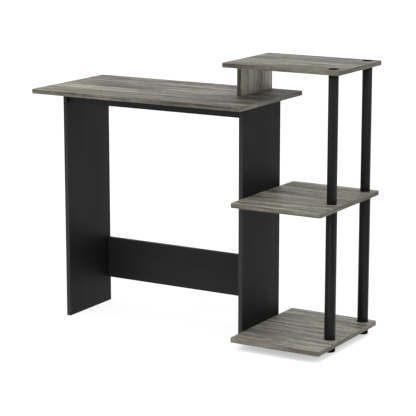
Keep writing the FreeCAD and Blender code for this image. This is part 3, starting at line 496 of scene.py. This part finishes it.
# The dome's points, as shares of the disc's radius and of the height left above its rim.
COVER_DOME = [(0.96, 0.25), (0.8, 0.55), (0.5, 0.85), (0.22, 0.98)]
COVER_SEGMENTS = 40
for covers, count in COVERED_SCREWS.items():
    low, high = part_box(covers)
    middle = (low + high) / 2
    on_leg = covers != "riser_screw_covers"
    if on_leg:
        thick = high.x - low.x
        radius = (high.z - low.z) / 2
        start = Vector((high.x, low.y + radius, middle.z))
        facing = (0, -math.pi / 2, 0)
    else:
        thick = high.z - low.z
        radius = (high.x - low.x) / 2
        start = Vector((middle.x, low.y + radius, high.z))
        facing = (math.pi, 0, 0)
    rim = COVER_RIM * thick
    dome = [(radius * out, rim + (thick - rim) * up) for out, up in COVER_DOME]
    master = lathe(covers + "_master", [
        (0, 0), (radius - COVER_CHAMFER, 0), (radius, 0.25 * rim), (radius, rim), *dome,
        (0, thick)], COVER_SEGMENTS)
    spacing = (high.y - low.y - 2 * radius) / (count - 1)
    repeat(covers.replace("_covers", "_cover_discs"), master,
           {"Count": count, "Start": start, "Step": Vector((0, spacing, 0)), "Turn": facing,
            "Finish": black_moulding},
           [covers])

# ---------------------------------------------------------------- posts
# Each post is two extruded plastic tubes with a moulded plug in each end.  The plug's collar has
# the tube's own diameter, so only a hair line shows where tube and collar meet.


def extruded_tube(name):
    """Extruded black plastic: satin, with faint draw lines, coarse enough to show."""
    material, tree = new_material(name)
    place = add(tree, "ShaderNodeTexCoord").outputs["Object"]
    lines = blotches(tree, place, (4.5, 4.5, 600), 3.0, 0.6)
    cloud = blotches(tree, place, (60, 60, 240), 2.0, 0.5)
    level = weighted(tree, [(lines, 0.8), (cloud, 0.2)])
    colour = add(tree, "ShaderNodeValToRGB", {"Fac": level},
                 [(0.38, "#080809"), (0.62, "#202021")]).outputs["Color"]
    roughness = add(tree, "ShaderNodeMapRange", {
        "Value": level, "From Min": 0.3, "From Max": 0.7,
        "To Min": 0.46, "To Max": 0.34}).outputs[0]
    shade(tree, colour, roughness, lines, strength=0.2, depth=0.1,
          even={"IOR": 1.53, "Specular IOR Level": 0.12})
    return material


def rounded(radius, height, lip, lowest):
    """Points of a quarter round about a centre, from the angle lowest upwards."""
    steps = 3
    angles = [lowest + math.pi / 2 * step / steps for step in range(steps + 1)]
    return [(radius + lip * math.cos(angle), height + lip * math.sin(angle)) for angle in angles]


satin_tube = extruded_tube("satin_extruded_tube")
TUBE_WALL = 1.8 * MM
TUBE_LIP = 0.35 * MM
TUBE_SEGMENTS = 72
front_low, front_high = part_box("front_lower_tube")
rear_low, rear_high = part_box("rear_lower_tube")
post_middle = (front_low + front_high) / 2
post_step = Vector((0, (rear_low.y + rear_high.y) / 2 - post_middle.y, 0))
for tier in ("lower", "upper"):
    low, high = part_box(f"front_{tier}_tube")
    radius = (high.x - low.x) / 2
    length = high.z - low.z
    bore = radius - TUBE_WALL
    shoulder = radius - TUBE_LIP
    profile = [
        (bore, 0),
        *rounded(shoulder, TUBE_LIP, TUBE_LIP, -math.pi / 2),
        *rounded(shoulder, length - TUBE_LIP, TUBE_LIP, 0),
        (bore, length),
        (bore, 0)]
    master = lathe(f"{tier}_tube_master", profile, TUBE_SEGMENTS)
    repeat(f"{tier}_post_tubes", master,
           {"Count": 2, "Start": Vector((post_middle.x, post_middle.y, low.z)),
            "Step": post_step, "Turn": (0, 0, 0), "Finish": satin_tube},
           [f"front_{tier}_tube", f"rear_{tier}_tube"])

# Feet and caps have a coarser, duller grain than the plugs, so they stay near black from
# everywhere.
dull_moulding = moulded_plastic(
    "dull_moulded_plastic", ("#080808", "#111111"),
    roughness=0.6, sheen=0.004, grain_size=1.6)
for post in ("front", "rear"):
    finish_node(post + "_lower_tube_plugs", black_moulding)
    finish_node(post + "_upper_tube_plugs", black_moulding)
    finish_node(post + "_middle_stud", black_moulding)
    finish_node(post + "_foot", dull_moulding)
    finish_node(post + "_top_cap", dull_moulding)

# ---------------------------------------------------------------- floor, light and camera
# A seamless white studio sheet that glows a little, in even light from all round, with a broad
# soft light high above the front and a weaker one low in front.

FLOOR_REACH = 60
FLOOR_GAP = 0.2 * MM
FLOOR_GLOW = 0.86
SHADED_GLOW = 0.42
SHADE_DISTANCE = 120 * MM
# The share of open sky at which the glow is full.
OPEN_SKY = 0.42


def white_sheet():
    """Matt white sheet that stays white in the light, with a painted shadow close under a piece.
    """
    material, tree = new_material("white_studio_floor")
    place = add(tree, "ShaderNodeTexCoord").outputs["Object"]
    mottle = blotches(tree, place, (900, 900, 900), 2.0, 0.5)
    colour = add(tree, "ShaderNodeValToRGB", {"Fac": mottle},
                 [(0.3, "#6c6c6b"), (0.7, "#707070")]).outputs["Color"]
    # Painted shadow: the glow fades where a piece hangs close over the sheet, as light from the
    # sides would.
    painted_shadow_closeness = add(tree, "ShaderNodeAmbientOcclusion", {"Distance": SHADE_DISTANCE}, samples=16)
    glow = add(tree, "ShaderNodeMapRange", {
        "Value": painted_shadow_closeness.outputs["AO"], "From Max": OPEN_SKY,
        "To Min": SHADED_GLOW, "To Max": FLOOR_GLOW}).outputs[0]
    shader = add(tree, "ShaderNodeBsdfPrincipled", {
        "Base Color": colour, "Roughness": 0.9, "Specular IOR Level": 0.1,
        "Emission Color": (1, 1, 1, 1), "Emission Strength": glow})
    add(tree, "ShaderNodeOutputMaterial", {"Surface": shader.outputs["BSDF"]})
    return material


sheet = bmesh.new()
bmesh.ops.create_grid(
    sheet, x_segments=24, y_segments=24, size=FLOOR_REACH,
    matrix=Matrix.Translation((0, 0, cad_low.z - FLOOR_GAP)))
floor_mesh = bpy.data.meshes.new("studio_floor")
sheet.to_mesh(floor_mesh)
sheet.free()
floor_mesh.materials.append(white_sheet())
floor = bpy.data.objects.new("studio_floor", floor_mesh)
bpy.context.scene.collection.objects.link(floor)

AIR_GLOW = 1.05
world = bpy.data.worlds.new("studio_air")
world.use_nodes = True
bpy.context.scene.world = world
backdrop = world.node_tree.nodes["Background"]
backdrop.inputs["Color"].default_value = (1, 1, 1, 1)
backdrop.inputs["Strength"].default_value = AIR_GLOW


def soft_sun(name, towards, strength, spread):
    """A broad even light; towards points from the desk to the light."""
    data = bpy.data.lights.new(name, "SUN")
    data.energy = strength
    data.angle = math.radians(spread)
    lamp = bpy.data.objects.new(name, data)
    lamp.rotation_mode = "QUATERNION"
    lamp.rotation_quaternion = Vector(towards).to_track_quat("Z", "Y")
    bpy.context.scene.collection.objects.link(lamp)


soft_sun("overhead_softbox", towards=(0.12, -0.30, 0.94), strength=1.5, spread=60)
soft_sun("front_fill", towards=(-0.10, -0.90, 0.40), strength=0.45, spread=60)

CAMERA_PLACE = (2.6671, -4.4962, 1.4858)
CAMERA_YAW = math.radians(30.527)
CAMERA_PITCH = math.radians(12.001)
SENSOR_WIDTH = 36
IMAGE_WIDTH = 416
# On the scale where the picture is IMAGE_WIDTH wide.
FOCAL_LENGTH = 1729.3
lens = bpy.data.cameras.new("studio_camera")
lens.sensor_width = SENSOR_WIDTH
lens.lens = SENSOR_WIDTH * FOCAL_LENGTH / IMAGE_WIDTH
lens.clip_end = 200
camera = bpy.data.objects.new("studio_camera", lens)
camera.location = CAMERA_PLACE
camera.rotation_euler = (math.pi / 2 - CAMERA_PITCH, 0, CAMERA_YAW)
bpy.context.scene.collection.objects.link(camera)
bpy.context.scene.camera = camera
bpy.context.scene.view_settings.view_transform = "Standard"
